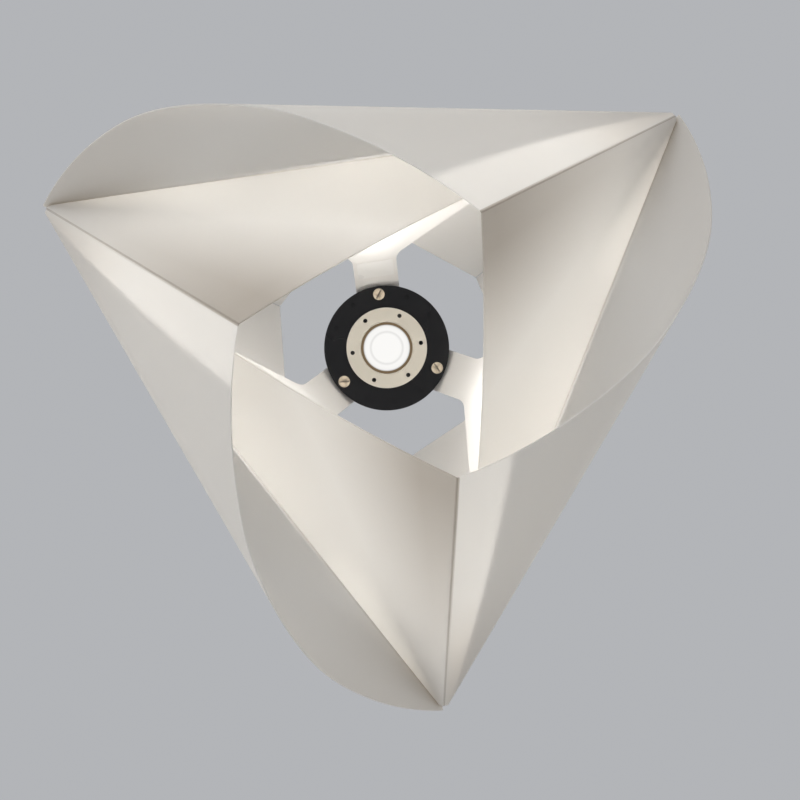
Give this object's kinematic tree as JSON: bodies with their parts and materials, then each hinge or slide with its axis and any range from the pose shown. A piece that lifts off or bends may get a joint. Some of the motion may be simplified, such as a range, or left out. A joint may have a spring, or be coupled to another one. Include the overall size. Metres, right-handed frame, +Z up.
{
  "type": "pendant light",
  "caption": "Hanging lamp with a swirling shade of folded sheets round a glare-shielded LED unit, held by a sheet-metal spider and a swivel stem.",
  "frame": {"origin": "centre of the hanger's upper end face, on the lamp's vertical axis", "axes": "+Z up along the hanger, +X towards the tip of the first shade sheet; the light shines towards -Z"},
  "size_m": [0.4458, 0.4677, 0.3475],
  "materials": {
    "shade_sheet": "matt, lets some light through",
    "white_steel": "satin white paint",
    "bare_aluminium": "plain",
    "black_gloss": "gloss",
    "screw_steel": "plated",
    "cream_metal": "cream paint",
    "lens_glass": "frosted",
    "board": "matt",
    "white_plastic": "matt",
    "black_plastic": "matt",
    "grey_rubber": "matt",
    "black_aluminium": "black anodised, satin",
    "red_rubber": "matt",
    "brass": "plain",
    "black_rubber": "matt"
  },
  "bodies": {
    "hanger": {"swivel_stem": "screw_steel", "thrust_washer": "white_plastic", "inlet_grommet": "black_rubber"},
    "lamp": {"shade_sheet_one": "shade_sheet", "shade_sheet_two": "shade_sheet", "shade_sheet_three": "shade_sheet", "spider": "white_steel", "shade_rivets": "bare_aluminium", "cover_disc": "black_gloss", "cover_screws": "screw_steel", "cover_spacers": "bare_aluminium", "led_board": "board", "led_holder": "black_plastic", "holder_screws": "screw_steel", "thermal_pad": "grey_rubber", "heat_sink": "black_aluminium", "housing_posts": "bare_aluminium", "housing_cup": "black_aluminium", "housing_lid": "black_aluminium", "housing_screws": "screw_steel", "driver": "white_plastic", "terminal_block": "white_plastic", "led_leads": "red_rubber", "swivel_bush": "brass", "stop_pin": "screw_steel"},
    "bezel": {"bezel_ring": "cream_metal", "lens": "lens_glass", "reflector_cup": "bare_aluminium"}
  },
  "joints": [
    {"name": "swivel", "type": "hinge", "parent": "hanger", "child": "lamp", "pos_m": [0, 0, -0.018], "axis": [0, 0, 1], "range_deg": [-160, 160]},
    {"name": "bezel_twist", "type": "hinge", "parent": "lamp", "child": "bezel", "pos_m": [0, 0, -0.1073], "axis": [0, 0, 1], "range_deg": [0, 25]}
  ]
}
